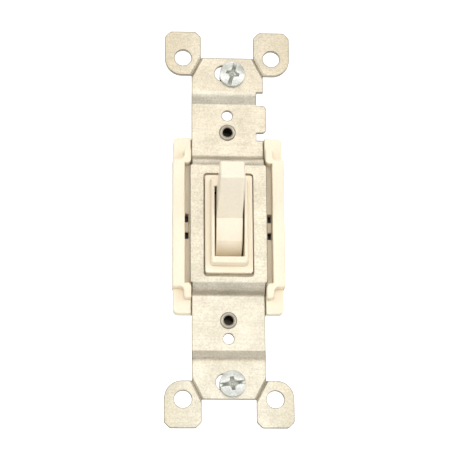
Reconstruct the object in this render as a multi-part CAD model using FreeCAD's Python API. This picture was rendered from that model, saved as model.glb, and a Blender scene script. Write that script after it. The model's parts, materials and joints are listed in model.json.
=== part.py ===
"""Framed three-way toggle wall switch: a light cover and a dark base riveted to a zinc-plated mounting strap.

Everything is drawn face up, as the switch lies on a bench: x across, y along the strap, z out of the wall,
with z = 0 where the backs of the strap's ears meet the wall. save() stands each piece upright for the wall:
z up along the strap, the toggle towards -Y, and the origin midway between the two box-screw slots.
"""
import FreeCAD
import Part

import math
import os

V = FreeCAD.Vector
X_AXIS, Y_AXIS, Z_AXIS = V(1, 0, 0), V(0, 1, 0), V(0, 0, 1)

# ---- mounting strap: standard device spacings, 3/4 inch strip ----
STRAP_T = 1.2
STRAP_HALF_W = 9.525
STRAP_HALF_L = 46.0
CENTRE_HALF_W = 10.05
CENTRE_HALF_L = 15.9
EAR_IN, EAR_OUT = 7.05, 16.7
EAR_BOTTOM, EAR_TOP = 41.2, 53.35
EAR_ROUND = 4.6
EAR_CHAMFER = 1.5
EAR_HOLE_X, EAR_HOLE_Y, EAR_HOLE_R = 11.85, 46.0, 2.25
BOX_SCREW_Y = 83.34 / 2
SLOT_HALF_L, SLOT_HALF_W = 3.4, 2.2
PLATE_SCREW_Y = 60.33 / 2
TAPPED_R = 1.4
RIVET_Y = 25.4
WINDOW_HALF_W, WINDOW_HALF_L, WINDOW_DROP = 6.45, 13.75, 0.4
EAR_Z = STRAP_T
SCREW_PLANE_Z = 0.2
CENTRE_PLANE_Z = 2.9
BEND_1 = (36.0, 33.4)
BEND_2 = (18.4, 16.7)
BEND_1_RADII = (4.0, 1.0)
BEND_2_RADII = (1.2, 2.4)
SCORE_W, SCORE_DEPTH = 1.0, 0.4

# ---- flat tab on the strap's right edge, between two notches ----
TAB_Y = (25.5, 33.1)
TAB_OUT, TAB_ROUND = 10.45, 1.2
RELIEF_X = 7.76
RELIEF_Y = ((23.3, 25.5), (33.1, 36.5))

# ---- cover ----
COVER_HALF_W, COVER_HALF_L, COVER_ROUND = 14.4, 23.75, 1.3
COVER_BACK_Z = -2.2
SEAT_Z = SCREW_PLANE_Z - STRAP_T
BLOCK_Z = 0.9
BLOCK_IN = 9.8
RAIL_IN, RAIL_OUT, RAIL_HALF_L, RAIL_Z = 11.5, 14.65, 17.1, 3.7
RIB_OUT, RIB_END = 11.7, 20.0
CHANNEL_HALF_L, CHANNEL_Z = 16.05, 0.7
PLATFORM_HALF_W, PLATFORM_HALF_L = 9.0, 14.5
FRAME_HALF_W, FRAME_HALF_L, FRAME_Z = 6.2, 13.1, 3.8
BUSHING_FOOT = (4.9, 11.7)
BUSHING_TOP = (4.75, 11.45)
BUSHING_Z = 6.5
TUNNEL_HALF_W, TUNNEL_HALF_L = 3.9, 9.6
MOUTH_Y, MOUTH_Z = (-9.75, 8.95), 3.2
PEG_SLOT_X, PEG_SLOT_Y = (10.35, 11.4), (-3.9, 2.9)
BRIDGE_Y, BRIDGE_Z = (-2.0, 0.7), (-0.4, 0.3)

# ---- toggle: leans 27 degrees either side of square ----
PIVOT_Z = -2.8
LEAN = 27.0
DRUM_R, DRUM_HALF_W = 9.3, 3.425
ROOT_ANGLE, FLAT_ANGLE, DRUM_END_ANGLE = 24.0, 61.5, 117.0
TIP_U, TIP_HALF, TIP_HALF_W = 23.1, 2.8, 3.2
LEVER_ROOT_HALF_W = 3.4
TRUNNION_R, TRUNNION_HALF_L = 1.5, 4.9
BEARING_R = 1.55
SPUR_U, SPUR_BALL_R, SPUR_NECK_R = 6.4, 1.3, 0.9

# ---- rocker contact: see-saws on the common terminal ----
ROCKER_Z = -16.0
ROCKER_TILT = 9.0
ROCKER_HALF_W, ROCKER_HALF_L = 2.4, 8.2
ROCKER_LOW, ROCKER_TOP = 0.15, 0.95
ROCKER_BALL_Z = 1.55
CONTACT_Y, CONTACT_R, CONTACT_LOW, CONTACT_DOME_R = 6.6, 1.5, -0.94, 4.0
KNIFE_R = 0.4
KNIFE_CLEARANCE = 0.05

# ---- toggle spring ----
SPRING_COIL_R, SPRING_WIRE_R, SPRING_TURNS = 1.375, 0.225, 5.5
SPRING_SEAT = 0.8

# ---- base ----
BASE_HALF_W, BASE_HALF_L, BASE_BACK_Z = 11.6, 17.5, -24.0
SHOULDER_HALF_L, SHOULDER_Z = 21.0, -9.0
LUG_HALF_W, LUG_END, LUG_BACK_Z, LUG_STEP_Y = 6.5, 27.9, -4.2, 23.4
CHAMBER_HALF_W, CHAMBER_HALF_L, FLOOR_Z = 3.9, 10.6, -19.6
PEG_X, PEG_Y, PEG_Z = (10.5, 11.25), (-1.85, 0.55), -0.6
RIVET_SHANK_R, RIVET_HOLE_R, RIVET_FLANGE_R, RIVET_HEAD_R = 1.7, 1.75, 2.1, 2.3
RIVET_BORE_R, RIVET_BORE_DEPTH = 1.3, 5.8

# ---- terminals, their screws and the push-in wire clips ----
PLATE_OUT, PLATE_IN = 11.1, 10.1
PLATE_Y, PLATE_Z = (6.4, 14.6), (-19.5, -8.0)
STRIP_T = 0.8
FIXED_CONTACT_Y = 7.0
FIXED_CONTACT_Z = -18.04
STRIP_HALF_W = 1.7
TERMINAL_SCREW_Y, TERMINAL_SCREW_Z = 10.5, -12.8
SCREW_R, SCREW_HOLE_R = 1.75, 1.8
TERMINAL_HEAD_R, TERMINAL_HEAD_T, TERMINAL_SHANK = 3.4, 1.8, 5.5
WIRE_X, WIRE_Y, WIRE_R = 8.9, 13.3, 1.1
CAVITY_IN = 5.2
FIT = 0.05

# ---- box-mounting screws, hanging a little low in their slots ----
BOX_SCREW_AT = {1: (1.3, BOX_SCREW_Y - 0.4), -1: (0.8, -BOX_SCREW_Y - 0.4)}
BOX_HEAD_R, BOX_HEAD_T, BOX_SHANK = 3.4, 1.8, 15.9
NECK_R, NECK_LOW_Z = 1.35, -1.1
RETAINER_R, RETAINER_T = 3.3, 0.8

# ---- driver recess and crown shared by all the screws ----
CROWN_SHARE = 0.45
SLOT_W, SLOT_DEPTH = 0.9, 1.15
CROSS_REACH, CROSS_W, CROSS_DEPTH = 1.75, 1.0, 1.45


def box(x, y, z):
    """A box from three (low, high) spans."""
    size = (x[1] - x[0], y[1] - y[0], z[1] - z[0])
    return Part.makeBox(*size, V(x[0], y[0], z[0]))


def centred_box(half_x, half_y, z):
    return box((-half_x, half_x), (-half_y, half_y), z)


def rod(radius, start, axis, length):
    return Part.makeCylinder(radius, length, V(*start), axis)


def rounded_box(half_x, half_y, z, radius):
    """An upright box about the z axis with its four upright edges rounded."""
    solid = centred_box(half_x, half_y, z)
    upright = [e for e in solid.Edges if abs(e.tangentAt(e.FirstParameter).z) > 0.99]
    return solid.makeFillet(radius, upright)


def join(first, *others):
    return first.fuse(list(others)).removeSplitter()


def flipped(solid, normal):
    """The mirror image across the plane through the origin with this normal."""
    return solid.mirror(V(0, 0, 0), normal)


def both_sides(solid, normal):
    return [solid, flipped(solid, normal)]


def four_corners(solid):
    """The solid and its mirror images in all four quadrants."""
    return [copy for half in both_sides(solid, X_AXIS) for copy in both_sides(half, Y_AXIS)]


def turned(solid, angle, z):
    """Turned about the x axis through height z."""
    copy = solid.copy()
    copy.rotate(V(0, 0, z), X_AXIS, angle)
    return copy


def edges_near(solid, test):
    """Edges whose middle point passes the test."""
    return [e for e in solid.Edges if test(e.valueAt((e.FirstParameter + e.LastParameter) / 2))]


def ribbon(route, thickness, radii, pull):
    """A bent sheet-metal strip. The route is its middle line, with a radius per bend, and pull is its width."""
    normal = pull.cross(route[1] - route[0]).normalize()
    joints = [route[0]]
    for before, corner, after, radius in zip(route, route[1:], route[2:], radii):
        a = (before - corner).normalize()
        b = (after - corner).normalize()
        half = a.getAngle(b) / 2
        centre = corner + (a + b).normalize() * (radius / math.sin(half))
        reach = radius / math.tan(half)
        middle = centre + (corner - centre).normalize() * radius
        joints += [(corner + a * reach, middle, corner + b * reach, centre)]
    joints.append(route[-1])

    def side(offset):
        edges = []
        last = route[0] + normal * offset
        for before, bend, after in zip(joints, joints[1:-1], joints[2:]):
            start, middle, end, centre = bend
            moved = []
            for point in (start, middle, end):
                outward = (point - centre).normalize()
                sign = 1 if outward.dot(pull.cross(end - start)) > 0 else -1
                moved.append(point + outward * (offset * sign))
            edges.append(Part.LineSegment(last, moved[0]).toShape())
            edges.append(Part.Arc(*moved).toShape())
            last = moved[2]
        along = (route[-1] - route[-2]).normalize()
        finish = route[-1] + pull.cross(along).normalize() * offset
        edges.append(Part.LineSegment(last, finish).toShape())
        return edges, route[0] + normal * offset, finish

    low, low_start, low_end = side(-thickness / 2)
    high, high_start, high_end = side(thickness / 2)
    caps = [Part.LineSegment(low_end, high_end).toShape(), Part.LineSegment(low_start, high_start).toShape()]
    wire = Part.Wire(Part.__sortEdges__(low + high + caps))
    return Part.Face(wire).extrude(pull)


def ear_outline():
    """The upper right ear: chamfered at its end, and round where its outer edge turns in to the strap."""
    centre = V(EAR_OUT - EAR_ROUND, EAR_BOTTOM + EAR_ROUND, 0)
    quarter = math.sqrt(0.5) * EAR_ROUND
    corners = [
        V(EAR_IN, EAR_TOP - EAR_CHAMFER, 0),
        V(EAR_IN + EAR_CHAMFER, EAR_TOP, 0),
        V(EAR_OUT - EAR_CHAMFER, EAR_TOP, 0),
        V(EAR_OUT, EAR_TOP - EAR_CHAMFER, 0),
        V(EAR_OUT, centre.y, 0),
    ]
    start = V(EAR_IN, EAR_BOTTOM, 0)
    arc = Part.Arc(corners[-1], centre + V(quarter, -quarter, 0), V(centre.x, EAR_BOTTOM, 0)).toShape()
    lines = [Part.LineSegment(a, b).toShape() for a, b in zip([start] + corners, corners)]
    lines += [arc, Part.LineSegment(V(centre.x, EAR_BOTTOM, 0), start).toShape()]
    blank = Part.Face(Part.Wire(lines)).extrude(V(0, 0, 2 * EAR_TOP))
    blank.translate(V(0, 0, -EAR_TOP))
    rounded = edges_near(blank, lambda p: abs(p.z) < 1 and p.y > EAR_TOP - EAR_CHAMFER - 0.1)
    return blank.makeFillet(0.9, rounded)


def strap_blank():
    """The flat outline of the strap, as tall as it takes to cut the bent sheet with."""
    tall = (-EAR_TOP, EAR_TOP)
    strip = centred_box(STRAP_HALF_W, STRAP_HALF_L, tall)
    centre = rounded_box(CENTRE_HALF_W, CENTRE_HALF_L, tall, 0.5)
    return join(strip, centre, *four_corners(ear_outline()))


def strap_sheet():
    """The strap's bends: ears on the wall, screw planes set back, centre plane raised."""
    half = STRAP_T / 2
    upper = [
        (EAR_TOP, EAR_Z - half),
        (BEND_1[0], EAR_Z - half),
        (BEND_1[1], SCREW_PLANE_Z - half),
        (BEND_2[0], SCREW_PLANE_Z - half),
        (BEND_2[1], CENTRE_PLANE_Z - half),
    ]
    lower = [(-py, pz) for py, pz in reversed(upper)]
    route = [V(-EAR_OUT - 1, py, pz) for py, pz in upper + lower]
    radii = BEND_1_RADII + BEND_2_RADII
    return ribbon(route, STRAP_T, radii + radii[::-1], V(2 * EAR_OUT + 2, 0, 0))


def screw_slot(y):
    """A slot across the strap for a box-mounting screw."""
    reach = SLOT_HALF_L - SLOT_HALF_W
    ends = [rod(SLOT_HALF_W, (side * reach, y, -5), Z_AXIS, 10) for side in (-1, 1)]
    middle = box((-reach, reach), (y - SLOT_HALF_W, y + SLOT_HALF_W), (-5, 5))
    return join(middle, *ends)


def score_groove():
    """The V groove that lets the upper right ear be snapped off, run out past the metal at both ends."""
    inner_corner = V(EAR_IN, STRAP_HALF_L, EAR_Z)
    outer_corner = V(STRAP_HALF_W, EAR_BOTTOM, EAR_Z)
    run_out = (outer_corner - inner_corner).normalize()
    start = inner_corner - run_out
    along = outer_corner + run_out - start
    across = along.cross(Z_AXIS).normalize() * (SCORE_W / 2)
    over = V(0, 0, 0.5)
    section = [start - across + over, start - across, start - V(0, 0, SCORE_DEPTH), start + across]
    section.append(start + across + over)
    return Part.Face(Part.makePolygon(section + section[:1])).extrude(along)


def side_tab():
    """The flat tab between the two notches of the strap's right edge, a little prouder than the strip."""
    back_z = SCREW_PLANE_Z - STRAP_T
    tab = box((RELIEF_X, TAB_OUT), TAB_Y, (back_z, SCREW_PLANE_Z))
    corners = edges_near(tab, lambda p: p.x > TAB_OUT - 0.01 and abs(p.z - (back_z + STRAP_T / 2)) < 0.01)
    return tab.makeFillet(TAB_ROUND, corners)


def mounting_strap():
    strap = strap_sheet().common(strap_blank())
    tall = (-5, 5)
    window = rounded_box(WINDOW_HALF_W, WINDOW_HALF_L, tall, 0.8)
    window.translate(V(0, -WINDOW_DROP, 0))
    cuts = [window]
    cuts += four_corners(rod(EAR_HOLE_R, (EAR_HOLE_X, EAR_HOLE_Y, -5), Z_AXIS, 10))
    cuts += four_corners(score_groove())
    cuts += both_sides(screw_slot(BOX_SCREW_Y), Y_AXIS)
    cuts += both_sides(rod(TAPPED_R, (0, PLATE_SCREW_Y, -5), Z_AXIS, 10), Y_AXIS)
    cuts += both_sides(rod(RIVET_HOLE_R, (0, RIVET_Y, -5), Z_AXIS, 10), Y_AXIS)
    cuts += [box((RELIEF_X, STRAP_HALF_W + 1), span, tall) for span in RELIEF_Y]
    return join(strap.cut(cuts), side_tab())


def cover_rib():
    """The L-shaped rib at the upper right corner: the end of a rail turned in beside the strap."""
    base = box((BLOCK_IN, RAIL_OUT), (CHANNEL_HALF_L, RAIL_HALF_L), (COVER_BACK_Z, RAIL_Z))
    arm = box((BLOCK_IN, RIB_OUT), (CHANNEL_HALF_L, RIB_END), (COVER_BACK_Z, RAIL_Z))
    rib = join(base, arm)
    inner = edges_near(rib, lambda p: abs(p.z) < 1 and abs(p.x - RIB_OUT) < 0.01 and abs(p.y - RAIL_HALF_L) < 0.01)
    rib = rib.makeFillet(1.2, inner)
    end = edges_near(rib, lambda p: abs(p.z) < 1 and abs(p.x - RIB_OUT) < 0.01 and abs(p.y - RIB_END) < 0.01)
    rib = rib.makeFillet(0.8, end)
    corner = edges_near(rib, lambda p: abs(p.z) < 1 and abs(p.x - BLOCK_IN) < 0.01 and p.y < CHANNEL_HALF_L + 0.01)
    return rib.makeFillet(1.1, corner)


def cover_bushing():
    """The raised collar that goes through the wall plate, tapered a little and softened round its top."""
    foot = rounded_box(*BUSHING_FOOT, (FRAME_Z - 1, FRAME_Z), 0.9).Faces
    top = rounded_box(*BUSHING_TOP, (BUSHING_Z, BUSHING_Z + 1), 0.9).Faces
    low_wire = [f for f in foot if abs(f.CenterOfMass.z - FRAME_Z) < 0.01][0].OuterWire
    high_wire = [f for f in top if abs(f.CenterOfMass.z - BUSHING_Z) < 0.01][0].OuterWire
    collar = Part.makeLoft([low_wire, high_wire], True)
    return collar.makeFillet(0.45, edges_near(collar, lambda p: p.z > BUSHING_Z - 0.01))


def front_cover():
    outline = rounded_box(COVER_HALF_W, COVER_HALF_L, (COVER_BACK_Z, BLOCK_Z), COVER_ROUND)
    strap_bed = centred_box(BLOCK_IN, COVER_HALF_L + 1, (SEAT_Z, BLOCK_Z + 1))
    body = outline.cut(strap_bed)
    body = body.makeFillet(0.35, edges_near(body, lambda p: abs(p.z - BLOCK_Z) < 0.01))
    rail = box((RAIL_IN, RAIL_OUT), (-RAIL_HALF_L, RAIL_HALF_L), (COVER_BACK_Z, RAIL_Z))
    floor = centred_box(RAIL_IN + 0.1, CHANNEL_HALF_L, (COVER_BACK_Z, CHANNEL_Z))
    channels_open = centred_box(RAIL_IN, CHANNEL_HALF_L, (CHANNEL_Z, RAIL_Z + 1))
    platform = centred_box(PLATFORM_HALF_W, PLATFORM_HALF_L, (CHANNEL_Z, CENTRE_PLANE_Z - STRAP_T - FIT))
    frame = rounded_box(FRAME_HALF_W, FRAME_HALF_L, (CHANNEL_Z, FRAME_Z), 0.7)
    frame = frame.makeFillet(0.25, edges_near(frame, lambda p: abs(p.z - FRAME_Z) < 0.01))
    frame.translate(V(0, -WINDOW_DROP, 0))
    edge = join(body, floor, *both_sides(rail, X_AXIS), *four_corners(cover_rib()))
    edge = edge.cut(channels_open)
    crest = edges_near(edge, lambda p: abs(p.z - RAIL_Z) < 0.01)
    edge = edge.makeFillet(0.35, crest)
    cover = join(edge, platform, frame, cover_bushing())
    cuts = [centred_box(TUNNEL_HALF_W, TUNNEL_HALF_L, (COVER_BACK_Z - 1, MOUTH_Z))]
    cuts.append(box((-TUNNEL_HALF_W, TUNNEL_HALF_W), MOUTH_Y, (MOUTH_Z - 0.1, BUSHING_Z + 1)))
    bridge = box((PEG_SLOT_X[0] - 1, PEG_SLOT_X[1] + 1), BRIDGE_Y, BRIDGE_Z)
    peg_slot = box(PEG_SLOT_X, PEG_SLOT_Y, (COVER_BACK_Z - 1, CHANNEL_Z + 1)).cut(bridge)
    cuts += both_sides(peg_slot, X_AXIS)
    relief_x, relief_y = LUG_HALF_W + 1, LUG_STEP_Y - 0.1
    lug_relief = box((-relief_x, relief_x), (relief_y, COVER_HALF_L + 1), (COVER_BACK_Z - 1, BLOCK_Z))
    cuts += both_sides(lug_relief, Y_AXIS)
    core = box((12.5, 13.8), (-15.0, 15.0), (COVER_BACK_Z - 1, RAIL_Z - 1.2))
    cuts += both_sides(core, X_AXIS)
    bearing_reach = TRUNNION_HALF_L + 0.3
    cuts.append(rod(BEARING_R, (-bearing_reach, 0, PIVOT_Z), X_AXIS, 2 * bearing_reach))
    return cover.cut(cuts)


def on_drum(angle):
    """A point of the drum's rim, in the toggle's own side view (v towards +y, u out of the wall)."""
    return V(0, DRUM_R * math.sin(math.radians(angle)), DRUM_R * math.cos(math.radians(angle)))


def toggle_drum():
    """The round shield that keeps the slot closed as the toggle swings, with a flat each side of the lever."""
    side = [on_drum(ROOT_ANGLE), on_drum(FLAT_ANGLE), on_drum(DRUM_END_ANGLE)]
    middle = on_drum((FLAT_ANGLE + DRUM_END_ANGLE) / 2)
    lines = []
    for sign in (-1, 1):
        root, flat, bulge, end = [V(0, sign * p.y, p.z) for p in (side[0], side[1], middle, side[2])]
        lines += [Part.LineSegment(root, flat).toShape(), Part.Arc(flat, bulge, end).toShape()]
    for rim in (side[0], side[2]):
        lines.append(Part.LineSegment(V(0, -rim.y, rim.z), rim).toShape())
    drum = Part.Face(Part.Wire(Part.__sortEdges__(lines))).extrude(V(2 * DRUM_HALF_W, 0, 0))
    drum.translate(V(-DRUM_HALF_W, 0, 0))
    return drum


def section_wire(half_x, half_y, z):
    corners = [V(-half_x, -half_y, z), V(half_x, -half_y, z), V(half_x, half_y, z), V(-half_x, half_y, z)]
    return Part.makePolygon(corners + corners[:1])


def toggle_square():
    """The toggle standing square to the wall with its pivot at the origin."""
    root = on_drum(ROOT_ANGLE)
    lever = Part.makeLoft([section_wire(LEVER_ROOT_HALF_W, root.y, root.z - 0.4),
                           section_wire(TIP_HALF_W, TIP_HALF, TIP_U)], True)
    lever = lever.makeFillet(0.55, edges_near(lever, lambda p: p.z > root.z + 0.1))
    neck = rod(SPUR_NECK_R, (0, 0, -SPUR_U), Z_AXIS, SPUR_U)
    ball = Part.makeSphere(SPUR_BALL_R, V(0, 0, -SPUR_U))
    trunnions = rod(TRUNNION_R, (-TRUNNION_HALF_L, 0, 0), X_AXIS, 2 * TRUNNION_HALF_L)
    return join(toggle_drum(), lever, neck, ball, trunnions)


def toggle_lever():
    lever = toggle_square()
    lever.translate(V(0, 0, PIVOT_Z))
    return turned(lever, -LEAN, PIVOT_Z)


def swung(y, z, angle, centre_z):
    """Where a point at (y, z) from a pivot on the z axis goes when it turns about x."""
    a = math.radians(angle)
    return y * math.cos(a) - z * math.sin(a), centre_z + y * math.sin(a) + z * math.cos(a)


def spring_ends():
    """The ball centres that the spring is held between: on the toggle's spur and on the rocker."""
    top = V(0, *swung(0, -SPUR_U, -LEAN, PIVOT_Z))
    bottom = V(0, *swung(0, ROCKER_BALL_Z, -ROCKER_TILT, ROCKER_Z))
    return top, bottom


def toggle_spring():
    """An open coil spring from ball to ball."""
    top, bottom = spring_ends()
    span = (bottom - top).Length - 2 * SPRING_SEAT
    helix = Part.makeHelix(span / SPRING_TURNS, span, SPRING_COIL_R)
    section = Part.Wire(Part.makeCircle(SPRING_WIRE_R, V(SPRING_COIL_R, 0, 0), Y_AXIS))
    coil = Part.Wire(helix).makePipeShell([section], True, True)
    coil.translate(V(0, 0, SPRING_SEAT))
    coil.Placement = FreeCAD.Placement(top, FreeCAD.Rotation(Z_AXIS, bottom - top)).multiply(coil.Placement)
    return coil


def rocker_plate():
    """The moving contact arm: a plate that rocks on the common terminal's knife edge, with a spring ball."""
    plate = centred_box(ROCKER_HALF_W, ROCKER_HALF_L, (ROCKER_LOW, ROCKER_TOP))
    plate = plate.makeFillet(1.2, [e for e in plate.Edges if abs(e.tangentAt(e.FirstParameter).z) > 0.99])
    cheek = box((ROCKER_HALF_W, ROCKER_HALF_W + 0.7), (-1.3, 1.3), (-1.2, ROCKER_TOP))
    ball = Part.makeSphere(SPUR_BALL_R, V(0, 0, ROCKER_BALL_Z))
    below = centred_box(2, 2, (-2, ROCKER_TOP - 0.1))
    arm = join(plate, ball.cut(below), *both_sides(cheek, X_AXIS))
    groove = rod(KNIFE_R + KNIFE_CLEARANCE, (-ROCKER_HALF_W, 0, 0), X_AXIS, 2 * ROCKER_HALF_W)
    holes = both_sides(rod(0.8, (0, CONTACT_Y, ROCKER_LOW - 1), Z_AXIS, 3), Y_AXIS)
    arm = arm.cut([groove] + holes)
    arm.translate(V(0, 0, ROCKER_Z))
    return turned(arm, -ROCKER_TILT, ROCKER_Z)


def rocker_contact(side):
    """A silver rivet through one end of the rocker, domed where it meets the fixed contact."""
    y = side * CONTACT_Y
    button = rod(CONTACT_R, (0, y, CONTACT_LOW), Z_AXIS, ROCKER_LOW - CONTACT_LOW)
    dome = Part.makeSphere(CONTACT_DOME_R, V(0, y, CONTACT_LOW + CONTACT_DOME_R))
    stem = rod(0.8, (0, y, ROCKER_LOW), Z_AXIS, ROCKER_TOP - ROCKER_LOW)
    head = rod(1.3, (0, y, ROCKER_TOP), Z_AXIS, 0.4)
    rivet = join(button.common(dome), stem, head)
    rivet.translate(V(0, 0, ROCKER_Z))
    return turned(rivet, -ROCKER_TILT, ROCKER_Z)


def screw_boss_hole(side_x, y):
    return rod(SCREW_HOLE_R, (side_x * (PLATE_IN - 1), y, TERMINAL_SCREW_Z), V(side_x, 0, 0), 3)


def traveller_terminal(side):
    """Brass: a screw plate on the left wall and a strip under one end of the rocker."""
    ys = sorted((side * PLATE_Y[0], side * PLATE_Y[1]))
    strip_y = side * FIXED_CONTACT_Y
    plate = box((-PLATE_OUT, -PLATE_IN), ys, PLATE_Z)
    strip = box((-PLATE_OUT, 2.2), (strip_y - STRIP_HALF_W, strip_y + STRIP_HALF_W),
                (PLATE_Z[0], PLATE_Z[0] + STRIP_T))
    rivet_hole = rod(0.8, (0, strip_y, PLATE_Z[0] - 1), Z_AXIS, 3)
    return join(plate, strip).cut([rivet_hole, screw_boss_hole(-1, side * TERMINAL_SCREW_Y)])


def common_terminal():
    """Brass: a screw plate on the right wall, a strip under the middle, and the rocker's knife edge."""
    plate = box((PLATE_IN, PLATE_OUT), (-PLATE_Y[1], -PLATE_Y[0]), PLATE_Z)
    arm = box((PLATE_IN, PLATE_OUT), (-PLATE_Y[1], STRIP_HALF_W), (PLATE_Z[0], -17.3))
    strip = box((-2.6, PLATE_OUT), (-STRIP_HALF_W, STRIP_HALF_W), (PLATE_Z[0], PLATE_Z[0] + STRIP_T))
    knife_half_w = ROCKER_HALF_W - 0.1
    post = centred_box(knife_half_w, KNIFE_R, (PLATE_Z[0], ROCKER_Z))
    edge = rod(KNIFE_R, (-knife_half_w, 0, ROCKER_Z), X_AXIS, 2 * knife_half_w)
    return join(plate, arm, strip, post, edge).cut(screw_boss_hole(1, -TERMINAL_SCREW_Y))


def fixed_contact(side):
    y = side * FIXED_CONTACT_Y
    head = rod(CONTACT_R, (0, y, PLATE_Z[0] + STRIP_T), Z_AXIS, FIXED_CONTACT_Z - PLATE_Z[0] - STRIP_T)
    head = head.makeFillet(0.2, edges_near(head, lambda p: p.z > FIXED_CONTACT_Z - 0.01))
    stem = rod(0.8, (0, y, PLATE_Z[0]), Z_AXIS, STRIP_T)
    return join(head, stem)


def combination_recess(radius):
    """A driver recess for a screw whose head's top is at z = 0: a slot with a cross in its middle."""
    slot = centred_box(radius + 1, SLOT_W / 2, (-SLOT_DEPTH, 1))
    cross = [centred_box(CROSS_REACH, CROSS_W / 2, (-CROSS_DEPTH, 1)),
             centred_box(CROSS_W / 2, CROSS_REACH, (-CROSS_DEPTH, 1))]
    point = Part.makeCone(0.35, 1.1, CROSS_DEPTH + 0.4, V(0, 0, -CROSS_DEPTH - 0.4), Z_AXIS)
    return join(slot, point, *cross)


def pan_screw(head_r, head_t, shank_l, slot_angle):
    """A 6-32 screw standing on its point's side: head above z = 0, shank below, its slot at an angle to x."""
    drop = head_t * CROWN_SHARE
    crown = (head_r ** 2 + drop ** 2) / (2 * drop)
    dome = Part.makeSphere(crown, V(0, 0, head_t - crown))
    head = rod(head_r, (0, 0, 0), Z_AXIS, head_t).common(dome)
    shank = rod(SCREW_R, (0, 0, -shank_l), Z_AXIS, shank_l)
    shank = shank.makeChamfer(0.5, edges_near(shank, lambda p: p.z < -shank_l + 0.01))
    recess = combination_recess(head_r)
    recess.translate(V(0, 0, head_t))
    recess.rotate(V(0, 0, 0), Z_AXIS, slot_angle)
    return join(head, shank).cut(recess)


def mounting_screw(side, slot_angle):
    """A box screw, necked where it passes through the strap and its retainer."""
    screw = pan_screw(BOX_HEAD_R, BOX_HEAD_T, BOX_SHANK, slot_angle)
    neck_l = EAR_Z - NECK_LOW_Z
    sleeve = rod(SCREW_R + 1, (0, 0, -neck_l), Z_AXIS, neck_l).cut(rod(NECK_R, (0, 0, -neck_l), Z_AXIS, neck_l))
    screw = screw.cut(sleeve)
    screw.translate(V(*BOX_SCREW_AT[side], EAR_Z))
    return screw


def screw_retainer(side):
    """The fibre washer behind the strap that keeps a box screw captive."""
    start = (*BOX_SCREW_AT[side], -RETAINER_T)
    return rod(RETAINER_R, start, Z_AXIS, RETAINER_T).cut(rod(NECK_R, start, Z_AXIS, RETAINER_T))


def terminal_screw(side_x, side_y, slot_angle):
    screw = pan_screw(TERMINAL_HEAD_R, TERMINAL_HEAD_T, TERMINAL_SHANK, slot_angle)
    screw.rotate(V(0, 0, 0), Y_AXIS, side_x * 90)
    screw.translate(V(side_x * PLATE_OUT, side_y * TERMINAL_SCREW_Y, TERMINAL_SCREW_Z))
    return screw


def wire_clip(side_x, side_y):
    """A folded spring leaf that grips a wire pushed in beside the terminal plate."""
    y = side_y * WIRE_Y - 1.0
    route = [(5.55, -9.5), (5.55, -19.2), (7.0, -19.2), (7.65, -14.0)]
    route = [V(side_x * px, y, pz) for px, pz in route]
    return ribbon(route, 0.35, (0.45, 0.45), V(0, 2.0, 0))


def rivet(side):
    """A semi-tubular rivet, rolled over on the strap so that its hollow end shows."""
    y = side * RIVET_Y
    length = SCREW_PLANE_Z - LUG_BACK_Z
    shank = rod(RIVET_SHANK_R, (0, y, LUG_BACK_Z), Z_AXIS, length)
    head = rod(RIVET_HEAD_R, (0, y, LUG_BACK_Z - 0.9), Z_AXIS, 0.9)
    head = head.makeFillet(0.5, edges_near(head, lambda p: p.z < LUG_BACK_Z - 0.89))
    flange = Part.makeTorus(1.75, 0.45, V(0, y, SCREW_PLANE_Z + 0.2), Z_AXIS)
    flange = flange.common(rod(3, (0, y, SCREW_PLANE_Z), Z_AXIS, 2))
    collar = rod(1.75, (0, y, SCREW_PLANE_Z), Z_AXIS, 0.45)
    bore = rod(RIVET_BORE_R, (0, y, SCREW_PLANE_Z + 1 - RIVET_BORE_DEPTH), Z_AXIS, RIVET_BORE_DEPTH)
    return join(shank, head, flange, collar).cut(bore)


def base_shell():
    """The outside of the base: deep body, end shoulders, and lugs that the rivets pass through."""
    body = rounded_box(BASE_HALF_W, BASE_HALF_L, (BASE_BACK_Z, COVER_BACK_Z), 1.2)
    body = body.makeFillet(0.8, edges_near(body, lambda p: p.z < BASE_BACK_Z + 0.01))
    shoulder = rounded_box(BASE_HALF_W, SHOULDER_HALF_L, (SHOULDER_Z, COVER_BACK_Z), 1.2)
    shoulder = shoulder.makeFillet(0.6, edges_near(shoulder, lambda p: p.z < SHOULDER_Z + 0.01))
    lug = rounded_box(LUG_HALF_W, LUG_END, (LUG_BACK_Z, SEAT_Z), 3.5)
    cover_step = centred_box(LUG_HALF_W + 1, LUG_STEP_Y, (COVER_BACK_Z, SEAT_Z + 1))
    return join(body, shoulder, lug.cut(cover_step))


def base_peg():
    """A peg that comes up under the bridge of the right-hand channel and locates the cover."""
    return box(PEG_X, PEG_Y, (COVER_BACK_Z - 1, PEG_Z))


def terminal_pockets(side_x, side_y):
    """Room for a terminal plate in the side wall, its screw and clip behind it, and a wire from the back."""
    def span(axis_side, low, high):
        return sorted((axis_side * low, axis_side * high))

    mouth = box(span(side_x, PLATE_IN, BASE_HALF_W + 1), span(side_y, PLATE_Y[0] - FIT, PLATE_Y[1] + FIT),
                (PLATE_Z[0] - FIT, PLATE_Z[1] + FIT))
    cavity = box(span(side_x, CAVITY_IN, PLATE_IN), span(side_y, 7.1, 14.6), (FLOOR_Z, PLATE_Z[1] - 0.6))
    wire = rod(WIRE_R, (side_x * WIRE_X, side_y * WIRE_Y, BASE_BACK_Z - 1), Z_AXIS, FLOOR_Z - BASE_BACK_Z + 2)
    funnel = Part.makeCone(WIRE_R + 0.6, WIRE_R, 0.6, V(side_x * WIRE_X, side_y * WIRE_Y, BASE_BACK_Z), Z_AXIS)
    release = box(span(side_x, 6.0, 7.0), span(side_y, WIRE_Y - 1, WIRE_Y + 1), (BASE_BACK_Z - 1, FLOOR_Z + 1))
    return [mouth, cavity, wire, funnel, release]


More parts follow.
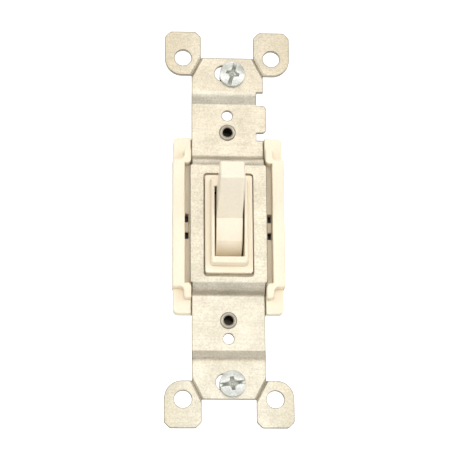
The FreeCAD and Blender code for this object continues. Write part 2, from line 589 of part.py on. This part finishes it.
def rear_base():
    """The dark moulded base with its contact chamber, terminal pockets and push-in wire holes."""
    shell = join(base_shell(), *both_sides(base_peg(), X_AXIS))
    cuts = [centred_box(CHAMBER_HALF_W, CHAMBER_HALF_L, (FLOOR_Z, COVER_BACK_Z + 1))]
    bearing_reach = TRUNNION_HALF_L + 0.3
    cuts.append(rod(BEARING_R, (-bearing_reach, 0, PIVOT_Z), X_AXIS, 2 * bearing_reach))
    cuts.append(centred_box(bearing_reach, BEARING_R, (PIVOT_Z, COVER_BACK_Z + 1)))
    cuts += both_sides(rod(RIVET_HOLE_R, (0, RIVET_Y, LUG_BACK_Z - 1), Z_AXIS, 6), Y_AXIS)
    cuts += terminal_pockets(-1, 1) + terminal_pockets(-1, -1) + terminal_pockets(1, -1)
    strip_half = STRIP_HALF_W + FIT
    for side in (-1, 1):
        y = side * FIXED_CONTACT_Y
        cuts.append(box((-PLATE_OUT, 0), (y - strip_half, y + strip_half), (FLOOR_Z, FIXED_CONTACT_Z + 0.1)))
    cuts.append(box((0, PLATE_OUT), (-strip_half, strip_half), (FLOOR_Z, ROCKER_Z + KNIFE_R + 0.1)))
    cuts.append(box((PLATE_IN, BASE_HALF_W + 1), (-PLATE_Y[1], strip_half), (PLATE_Z[0] - FIT, -17.3 + FIT)))
    gauge = box((-1.2, 1.2), (-14.5, -2.5), (BASE_BACK_Z - 1, BASE_BACK_Z + 0.8))
    cuts.append(gauge)
    return shell.cut(cuts)


def save(name, solid):
    """Stands a piece upright, as it hangs on the wall, and writes its STEP file."""
    upright = solid.copy()
    upright.rotate(V(0, 0, 0), X_AXIS, 90)
    if not upright.isValid() or len(upright.Solids) != 1:
        print("check", name, "valid", upright.isValid(), "solids", len(upright.Solids))
    upright.Solids[0].exportStep("parts/" + name + ".step")


def main():
    os.makedirs("parts", exist_ok=True)
    save("mounting_strap", mounting_strap())
    save("front_cover", front_cover())
    save("rear_base", rear_base())
    save("toggle_lever", toggle_lever())
    save("toggle_spring", toggle_spring())
    save("rocker_plate", rocker_plate())
    save("common_terminal", common_terminal())
    save("common_screw", terminal_screw(1, -1, 20))
    save("wire_clip_common", wire_clip(1, -1))
    for place, side, slot_angle in (("upper", 1, 75), ("lower", -1, 8)):
        save("rocker_contact_" + place, rocker_contact(side))
        save("fixed_contact_" + place, fixed_contact(side))
        save("traveller_terminal_" + place, traveller_terminal(side))
        save("traveller_screw_" + place, terminal_screw(-1, side, slot_angle - 30))
        save("wire_clip_" + place, wire_clip(-1, side))
        save("rivet_" + place, rivet(side))
        save("mounting_screw_" + place, mounting_screw(side, slot_angle))
        save("screw_retainer_" + place, screw_retainer(side))
    top, bottom = spring_ends()
    print("spring top", top, "bottom", bottom)


main()
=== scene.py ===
"""Looks for the toggle wall switch: materials, threaded screws, studio and camera around its CAD model.

Metres throughout, in the row frame: X across the switch, Z up along its strap, the toggle towards -Y.
"""

import json
import math

import bmesh
import bpy
from mathutils import Matrix, Vector


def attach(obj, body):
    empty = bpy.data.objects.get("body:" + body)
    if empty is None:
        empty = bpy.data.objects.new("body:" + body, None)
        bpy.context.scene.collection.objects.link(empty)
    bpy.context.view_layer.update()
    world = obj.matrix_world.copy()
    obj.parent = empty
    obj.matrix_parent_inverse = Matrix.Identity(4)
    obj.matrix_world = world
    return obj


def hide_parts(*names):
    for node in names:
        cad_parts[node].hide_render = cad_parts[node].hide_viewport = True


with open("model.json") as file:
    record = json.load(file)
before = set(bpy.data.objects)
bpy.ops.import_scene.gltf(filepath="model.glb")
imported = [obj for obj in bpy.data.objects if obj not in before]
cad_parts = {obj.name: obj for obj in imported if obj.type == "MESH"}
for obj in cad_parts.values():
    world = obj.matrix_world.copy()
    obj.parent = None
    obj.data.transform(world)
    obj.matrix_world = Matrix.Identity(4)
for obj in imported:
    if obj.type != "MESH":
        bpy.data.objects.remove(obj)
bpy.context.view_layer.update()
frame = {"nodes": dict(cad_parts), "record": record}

MM = 0.001
NODES = frame["nodes"]
WHITE = (1.0, 1.0, 1.0)
SLOT_OF = {part["node"]: part["material_slot"] for part in frame["record"]["subparts"]}


# ---- node helpers ----

def add(tree, kind, inputs=None, **settings):
    """A new shader node with its settings. Each input is set to a value or linked to an output."""
    made = tree.nodes.new("ShaderNode" + kind)
    for name, value in settings.items():
        setattr(made, name, value)
    for name, value in (inputs or {}).items():
        if isinstance(value, bpy.types.NodeSocket):
            tree.links.new(value, made.inputs[name])
        else:
            made.inputs[name].default_value = value
    return made


def rgba(colour):
    return (*colour, 1.0)


class Surface:
    """One procedural material: its node tree, the object coordinates, and short ways to add patterns."""

    def __init__(self, name, metallic=0.0, **constants):
        self.material = bpy.data.materials.new(name)
        self.material.use_nodes = True
        self.tree = self.material.node_tree
        self.shader = self.tree.nodes["Principled BSDF"]
        self.shader.inputs["Metallic"].default_value = metallic
        for socket, value in constants.items():
            self.shader.inputs[socket.replace("_", " ")].default_value = value
        self.place = add(self.tree, "TexCoord").outputs["Object"]

    def stretched(self, scale):
        mapping = add(self.tree, "Mapping", {"Vector": self.place})
        mapping.inputs["Scale"].default_value = scale
        return mapping.outputs["Vector"]

    def noise(self, size_mm, detail=3.0, roughness=0.55, distortion=0.0, place=None):
        made = add(self.tree, "TexNoise", {
            "Vector": place or self.place,
            "Scale": 1.0 / (size_mm * MM),
            "Detail": detail,
            "Roughness": roughness,
            "Distortion": distortion,
        })
        return made.outputs["Fac"]

    def cells(self, size_mm):
        made = add(self.tree, "TexVoronoi", {"Vector": self.place, "Scale": 1.0 / (size_mm * MM)})
        return made.outputs["Distance"]

    def ramp(self, factor, low, high, start, end):
        """A colour or grey that goes from start to end as the factor goes from low to high."""
        made = add(self.tree, "ValToRGB", {"Fac": factor})
        for element, position, value in zip(made.color_ramp.elements, (low, high), (start, end)):
            element.position = position
            element.color = rgba(value if isinstance(value, tuple) else (value,) * 3)
        return made.outputs["Color"]

    def mixed(self, factor, first, second, blend="MIX"):
        """First and second blended by the factor, which is a number or an output."""
        made = add(self.tree, "Mix", {"Factor": factor}, data_type="RGBA", blend_type=blend)
        sockets = [s for s in made.inputs if s.type == "RGBA"]
        for socket, value in zip(sockets, (first, second)):
            if isinstance(value, bpy.types.NodeSocket):
                self.tree.links.new(value, socket)
            else:
                socket.default_value = rgba(value)
        return [s for s in made.outputs if s.type == "RGBA"][0]

    def multiplied(self, tone, shade):
        return self.mixed(1.0, tone, shade, "MULTIPLY")

    def crevice_shade_and_dust(self, reach_mm, darkest):
        """Painted shade, with a little dust, in the narrow places of the piece itself."""
        inputs = {"Distance": reach_mm * MM}
        made = add(self.tree, "AmbientOcclusion", inputs, samples=8, only_local=True)
        return self.ramp(made.outputs["AO"], 0.25, 0.85, darkest, WHITE)

    def edge_shade(self, reach_mm, darkest):
        """Painted shade: a darker band within reach of the piece's own sharp edges and creases."""
        rounded = add(self.tree, "Bevel", {"Radius": reach_mm * MM}, samples=8).outputs["Normal"]
        flat = add(self.tree, "NewGeometry").outputs["Normal"]
        made = add(self.tree, "VectorMath", operation="DOT_PRODUCT")
        self.tree.links.new(rounded, made.inputs[0])
        self.tree.links.new(flat, made.inputs[1])
        return self.ramp(made.outputs["Value"], 0.84, 0.996, darkest, WHITE)

    def height(self, steps, edge_mm=0.0):
        """Bumps from (factor, depth in mm) pairs, over edges rounded by edge_mm."""
        normal = None
        if edge_mm:
            normal = add(self.tree, "Bevel", {"Radius": edge_mm * MM}, samples=6).outputs["Normal"]
        for factor, depth in steps:
            inputs = {"Height": factor, "Distance": depth * MM, "Strength": 1.0}
            if normal:
                inputs["Normal"] = normal
            normal = add(self.tree, "Bump", inputs).outputs["Normal"]
        self.tree.links.new(normal, self.shader.inputs["Normal"])

    def finish(self, colour, roughness):
        self.tree.links.new(colour, self.shader.inputs["Base Color"])
        self.tree.links.new(roughness, self.shader.inputs["Roughness"])
        return self.material


# ---- materials ----

EDGE_SHADE_REACH = 1.6  # the painted edge shade's reach, in edge radii
# the strap gets darker across X between these distances from its middle
DARKEN_FROM, DARKEN_TO = 9.0 * MM, 16.8 * MM


def moulded_plastic(name, pale, deep, gloss, dust_and_shade_tint):
    """Urea plastic: faint yellowing in soft clouds, a fine moulded skin, and painted shade with dull dust
    in its corners and along its edges.
    """
    s = Surface(name, IOR=1.52, Subsurface_Weight=0.12, Subsurface_Scale=0.0006)
    s.shader.inputs["Subsurface Radius"].default_value = (1.0, 0.75, 0.45)
    clouds = s.noise(9.0, detail=4.0)
    mottle = s.noise(0.7, detail=5.0, roughness=0.65)
    tone = s.ramp(clouds, 0.3, 0.7, deep, pale)
    fleck = s.ramp(mottle, 0.28, 0.62, 0.955, 1.0)
    tone = s.multiplied(tone, fleck)
    # painted shade, with a little dust, in corners and channels, then painted shade along the edges
    tone = s.multiplied(tone, s.crevice_shade_and_dust(1.0, dust_and_shade_tint))
    tone = s.multiplied(tone, s.edge_shade(0.26, (0.70, 0.66, 0.57)))
    rough = s.ramp(mottle, 0.3, 0.7, gloss, gloss + 0.12)
    s.height([(s.noise(6.0, detail=1.0), 0.012), (s.noise(0.22, detail=3.0), 0.003)], edge_mm=0.22)
    return s.finish(tone, rough)


def zinc_plate(name, bright, dull, gloss, edge_mm=0.28, metallic=0.94):
    """Bright zinc over sheared steel: crystalline mottle, rolling lines, dull handling marks, and painted
    shade in its creases and along its edges.
    """
    s = Surface(name, metallic=metallic)
    rolled = s.noise(0.4, detail=3.0, place=s.stretched((0.08, 1.0, 1.0)))
    crystals = s.noise(0.45, detail=6.0, roughness=0.7)
    clouds = s.noise(6.0, detail=4.0, roughness=0.6, distortion=0.4)
    spots = s.cells(1.7)
    tone = s.ramp(clouds, 0.32, 0.68, dull, bright)
    tone = s.multiplied(tone, s.ramp(crystals, 0.36, 0.62, 0.72, 1.0))
    tone = s.multiplied(tone, s.ramp(rolled, 0.32, 0.6, 0.90, 1.0))
    tone = s.multiplied(tone, s.ramp(spots, 0.03, 0.12, (0.70, 0.66, 0.58), WHITE))
    # painted shade in creases and corners, then painted shade along the edges
    tone = s.multiplied(tone, s.crevice_shade_and_dust(1.2, (0.72, 0.68, 0.60)))
    tone = s.multiplied(tone, s.edge_shade(edge_mm * EDGE_SHADE_REACH, (0.20, 0.185, 0.155)))
    # darker towards the outer sides across X, in cloudy patches
    across = add(s.tree, "SeparateXYZ", {"Vector": s.place}).outputs["X"]
    outward = add(s.tree, "Math", {0: across}, operation="ABSOLUTE").outputs["Value"]
    outward_darkening = s.ramp(outward, DARKEN_FROM, DARKEN_TO, WHITE, (0.86, 0.84, 0.77))
    tone = s.mixed(s.ramp(clouds, 0.3, 0.6, 0.35, 1.0), tone, outward_darkening, "MULTIPLY")
    rough = s.ramp(crystals, 0.3, 0.72, gloss, gloss + 0.16)
    s.height([(clouds, 0.02), (rolled, 0.002), (crystals, 0.006)], edge_mm=edge_mm)
    return s.finish(tone, rough)


def plain_metal(name, bright, dull, gloss, patch_mm=3.0, metallic=1.0, shadow_mm=0.8):
    """Turned, stamped or drawn metal with a little tarnish in patches, fine tool marks, and painted shade
    in its hollows.
    """
    s = Surface(name, metallic=metallic)
    patches = s.noise(patch_mm, detail=5.0, roughness=0.6)
    grain = s.noise(0.25, detail=3.0)
    tone = s.ramp(patches, 0.35, 0.65, dull, bright)
    tone = s.multiplied(tone, s.ramp(grain, 0.3, 0.6, 0.9, 1.0))
    # painted shade in hollows, reaching shadow_mm
    tone = s.multiplied(tone, s.crevice_shade_and_dust(shadow_mm, (0.25, 0.23, 0.20)))
    rough = s.ramp(grain, 0.3, 0.7, gloss, gloss + 0.14)
    s.height([(patches, 0.01), (grain, 0.003)], edge_mm=0.1)
    return s.finish(tone, rough)


def phenolic(name):
    """Dark compression-moulded phenolic: fine filler flecks and a slightly wavy, half-gloss skin."""
    s = Surface(name, IOR=1.6)
    flecks = s.noise(0.28, detail=5.0, roughness=0.75)
    clouds = s.noise(7.0, detail=3.0)
    tone = s.ramp(clouds, 0.3, 0.7, (0.013, 0.011, 0.010), (0.024, 0.021, 0.019))
    light = s.ramp(flecks, 0.66, 0.74, 0.0, 1.0)
    tone = s.mixed(light, tone, (0.085, 0.062, 0.045))
    rough = s.ramp(flecks, 0.3, 0.7, 0.34, 0.52)
    s.height([(clouds, 0.02), (flecks, 0.004)], edge_mm=0.16)
    return s.finish(tone, rough)


def vulcanised_fibre(name):
    """Grey-brown pressed fibre with strands along Z."""
    s = Surface(name, IOR=1.5)
    strands = s.noise(0.3, detail=6.0, roughness=0.7, place=s.stretched((1.0, 1.0, 0.35)))
    tone = s.ramp(strands, 0.3, 0.7, (0.10, 0.085, 0.07), (0.26, 0.22, 0.18))
    rough = s.ramp(strands, 0.3, 0.7, 0.65, 0.85)
    s.height([(strands, 0.02)], edge_mm=0.08)
    return s.finish(tone, rough)


MATERIALS = {
    "ivory_plastic": moulded_plastic(
        "ivory_plastic", (0.94, 0.85, 0.685), (0.92, 0.82, 0.65), 0.36, (0.90, 0.86, 0.78)),
    "ivory_plastic_toggle": moulded_plastic(
        "ivory_plastic_toggle", (0.925, 0.845, 0.70), (0.905, 0.82, 0.67), 0.26, (0.88, 0.83, 0.74)),
    "zinc_steel": zinc_plate("zinc_steel", (0.765, 0.70, 0.58), (0.63, 0.575, 0.465), 0.28),
    "zinc_screw": zinc_plate(
        "zinc_screw", (0.90, 0.92, 0.88), (0.80, 0.82, 0.78), 0.36, edge_mm=0.12, metallic=0.8),
    # a long reach of painted shade darkens the rivet's bore
    "rivet_steel": plain_metal(
        "rivet_steel", (0.52, 0.48, 0.40), (0.38, 0.34, 0.28), 0.36, shadow_mm=3.0),
    "brass": plain_metal("brass", (0.83, 0.61, 0.30), (0.60, 0.40, 0.17), 0.24),
    "brass_screw": plain_metal("brass_screw", (0.80, 0.60, 0.30), (0.62, 0.43, 0.19), 0.20),
    "black_screw": plain_metal(
        "black_screw", (0.050, 0.048, 0.046), (0.022, 0.021, 0.020), 0.34, metallic=0.7),
    "copper_alloy": plain_metal("copper_alloy", (0.84, 0.52, 0.36), (0.62, 0.33, 0.20), 0.24),
    "silver_contact": plain_metal(
        "silver_contact", (0.90, 0.88, 0.84), (0.62, 0.59, 0.54), 0.22, patch_mm=1.0),
    "spring_steel": plain_metal(
        "spring_steel", (0.58, 0.56, 0.53), (0.36, 0.35, 0.36), 0.22, patch_mm=1.5),
    "black_phenolic": phenolic("black_phenolic"),
    "fibre": vulcanised_fibre("fibre"),
}


def paint(obj, slot_name):
    obj.data.materials.clear()
    obj.data.materials.append(MATERIALS[slot_name])


# ---- screws with real threads ----

PITCH = 25.4 / 32 * MM
CREST_R, ROOT_R = 1.75 * MM, 1.36 * MM
RING_STEPS, TURN_STEPS = 40, 12
THREAD_SLOPE = 1.35  # above 1, this leaves flats on crests and roots
POINT_R = ROOT_R * 0.86
WELD = 1e-7
SINK = 0.02 * MM  # how far the kept head reaches into the thread
BOX_SHANK, SIDE_SHANK = 13.6 * MM, 5.5 * MM
BOX_SEATS = {"upper": (1.3, 1.1, 41.27), "lower": (0.8, 1.1, -42.07)}  # in mm
SIDE_SEAT = (11.1, 12.8, 10.5)  # in mm, mirrored for each side screw


def thread_radius(height, turn):
    """The radius of a right-hand thread with small flats on its crests and roots."""
    phase = (height / PITCH - turn) % 1.0
    wave = abs(2.0 * phase - 1.0) * THREAD_SLOPE - (THREAD_SLOPE - 1.0) / 2.0
    return ROOT_R + (CREST_R - ROOT_R) * min(1.0, max(0.0, wave))


def threaded_rod(bm, length, place):
    """A closed threaded rod from z = 0 down to its chamfered point, moved by place."""
    rings = int(length / PITCH * TURN_STEPS)
    loops = []
    for k in range(rings + 1):
        depth = length * k / rings
        limit = POINT_R + (length - depth)
        loop = []
        for j in range(RING_STEPS):
            turn = j / RING_STEPS
            radius = min(thread_radius(-depth, turn), limit)
            angle = 2.0 * math.pi * turn
            point = Vector((radius * math.cos(angle), radius * math.sin(angle), -depth))
            loop.append(bm.verts.new(place @ point))
        loops.append(loop)
    for upper, lower in zip(loops, loops[1:]):
        for j in range(RING_STEPS):
            after = (j + 1) % RING_STEPS
            bm.faces.new((upper[j], lower[j], lower[after], upper[after]))
    bm.faces.new(loops[0])
    bm.faces.new(list(reversed(loops[-1])))


def shaded_by_angle(mesh, degrees):
    for polygon in mesh.polygons:
        polygon.use_smooth = True
    mesh.set_sharp_from_angle(angle=math.radians(degrees))


def threaded_screw(node, body, seat, outward, shank):
    """The CAD screw's own head on a threaded shank, whose thread starts at seat."""
    bm = bmesh.new()
    bm.from_mesh(NODES[node].data)
    bmesh.ops.remove_doubles(bm, verts=bm.verts, dist=WELD)
    everything = list(bm.verts) + list(bm.edges) + list(bm.faces)
    cut = bmesh.ops.bisect_plane(bm, geom=everything, plane_co=seat - outward * SINK,
                                 plane_no=outward, clear_inner=True)
    rim = [part for part in cut["geom_cut"] if isinstance(part, bmesh.types.BMEdge)]
    bmesh.ops.holes_fill(bm, edges=rim, sides=0)
    place = Matrix.Translation(seat) @ outward.to_track_quat("Z", "Y").to_matrix().to_4x4()
    threaded_rod(bm, shank, place)
    bmesh.ops.recalc_face_normals(bm, faces=bm.faces)
    mesh = bpy.data.meshes.new(node + "_threaded")
    bm.to_mesh(mesh)
    bm.free()
    shaded_by_angle(mesh, 32)
    screw = bpy.data.objects.new(node + "_threaded", mesh)
    bpy.context.scene.collection.objects.link(screw)
    paint(screw, SLOT_OF[node])
    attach(screw, body)
    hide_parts(node)


def all_screws():
    """The box screws point into the wall, threaded past their necks, and the rest into the base's sides."""
    for place, seat_mm in BOX_SEATS.items():
        seat = Vector(seat_mm) * MM
        threaded_screw("mounting_screw_" + place, "box_screw_" + place, seat, Vector((0, -1, 0)), BOX_SHANK)
    sides = (
        ("common_screw", "common_screw", 1, -1),
        ("traveller_screw_upper", "traveller_screw_upper", -1, 1),
        ("traveller_screw_lower", "traveller_screw_lower", -1, -1),
    )
    for node, body, side_x, side_z in sides:
        out, back, along = SIDE_SEAT
        seat = Vector((side_x * out, back, side_z * along)) * MM
        threaded_screw(node, body, seat, Vector((side_x, 0, 0)), SIDE_SHANK)


# ---- studio and camera ----

FLOOR_Z, FLOOR_FRONT, FLOOR_BACK = -0.34, -8.0, 0.75
CURVE_R, CURVE_STEPS = 0.45, 12
WALL_TOP = 2.6
FLOOR_HALF_W, WALL_HALF_W = 8.0, 0.9
CURVE_START = 0.8  # further back than this, the sheet is as narrow as the wall
GLOW_LOW, GLOW_HIGH = 0.0, 0.06

CAMERA_TURN = (-4.2, -14.0, -0.34)  # azimuth, elevation and roll, in degrees
CAMERA_DISTANCE = 0.440
CAMERA_AIM = (-0.76, 0.0, 0.15)  # in mm
LENS_MM, SENSOR_MM = 134.0, 36.0


def linked(name, data):
    made = bpy.data.objects.new(name, data)
    bpy.context.scene.collection.objects.link(made)
    return made


def sweep():
    """A pale floor well below the switch, curving up into a narrower backdrop behind it."""
    profile = [(FLOOR_FRONT, FLOOR_Z), (FLOOR_BACK, FLOOR_Z)]
    for k in range(1, CURVE_STEPS + 1):
        turn = math.radians(90 * k / CURVE_STEPS)
        rise = CURVE_R * (1.0 - math.cos(turn))
        profile.append((FLOOR_BACK + CURVE_R * math.sin(turn), FLOOR_Z + rise))
    profile.append((FLOOR_BACK + CURVE_R, WALL_TOP))
    bm = bmesh.new()
    sides = []
    for side in (-1, 1):
        widths = [FLOOR_HALF_W if y < CURVE_START else WALL_HALF_W for y, z in profile]
        sides.append([bm.verts.new((side * half, y, z)) for half, (y, z) in zip(widths, profile)])
    for k in range(len(profile) - 1):
        bm.faces.new((sides[0][k], sides[1][k], sides[1][k + 1], sides[0][k + 1]))
    bmesh.ops.recalc_face_normals(bm, faces=bm.faces)
    mesh = bpy.data.meshes.new("sweep")
    bm.to_mesh(mesh)
    bm.free()
    for polygon in mesh.polygons:
        polygon.use_smooth = True
    paper = Surface("paper", Emission_Strength=0.75)
    height = add(paper.tree, "SeparateXYZ", {"Vector": paper.place}).outputs["Z"]
    glow = paper.ramp(height, GLOW_LOW, GLOW_HIGH, 0.08, 1.0)
    paper.tree.links.new(glow, paper.shader.inputs["Emission Color"])
    grain = paper.noise(4.0)
    tone = paper.ramp(grain, 0.3, 0.7, 0.82, 0.86)
    rough = paper.ramp(grain, 0.3, 0.7, 0.8, 0.9)
    mesh.materials.append(paper.finish(tone, rough))
    linked("sweep", mesh)


def softbox(name, azimuth, elevation, distance, width, height, power, colour=(1.0, 0.985, 0.96)):
    """An area light aimed at the switch. Azimuth 0 is straight in front, and 90 is to the right."""
    a, e = math.radians(azimuth), math.radians(elevation)
    towards = Vector((math.sin(a) * math.cos(e), -math.cos(a) * math.cos(e), math.sin(e)))
    light = bpy.data.lights.new(name, "AREA")
    light.shape = "RECTANGLE"
    light.size, light.size_y = width, height
    light.energy = power
    light.color = colour
    made = linked(name, light)
    made.location = towards * distance
    made.rotation_euler = (-towards).to_track_quat("-Z", "Y").to_euler()


def studio():
    world = bpy.data.worlds.new("studio")
    bpy.context.scene.world = world
    world.use_nodes = True
    background = world.node_tree.nodes["Background"]
    background.inputs["Color"].default_value = (1.0, 0.99, 0.975, 1.0)
    background.inputs["Strength"].default_value = 0.22
    softbox("front_high", 4, 20.5, 1.1, 1.15, 0.35, 2.35, (1.0, 0.955, 0.875))
    softbox("front_low", 4, 2, 1.1, 1.15, 0.35, 2.45, (0.95, 1.0, 1.03))
    softbox("left_side", -48, 6, 1.0, 0.6, 0.6, 2.7)
    softbox("right_side", 48, 8, 1.0, 0.6, 0.6, 2.4)
    softbox("top_front", 0, 60, 1.0, 0.9, 0.5, 1.5)
    softbox("overhead", 0, 105, 0.9, 0.9, 0.9, 5.2)
    sweep()


def camera():
    """A long lens a little below the switch and a little to its left."""
    azimuth, elevation, roll = map(math.radians, CAMERA_TURN)
    back = Vector((
        math.sin(azimuth) * math.cos(elevation),
        -math.cos(azimuth) * math.cos(elevation),
        math.sin(elevation),
    ))
    aim = Vector(CAMERA_AIM) * MM
    lens = bpy.data.cameras.new("camera")
    lens.sensor_width = SENSOR_MM
    lens.lens = LENS_MM
    lens.clip_start, lens.clip_end = 0.01, 20.0
    made = linked("camera", lens)
    look = (-back).to_track_quat("-Z", "Y").to_matrix() @ Matrix.Rotation(roll, 3, "Z")
    made.matrix_world = Matrix.Translation(aim + back * CAMERA_DISTANCE) @ look.to_4x4()
    bpy.context.scene.camera = made


for node, part in NODES.items():
    paint(part, SLOT_OF[node])
all_screws()
studio()
camera()
bpy.context.scene.view_settings.view_transform = "Standard"
bpy.context.scene.view_settings.look = "None"
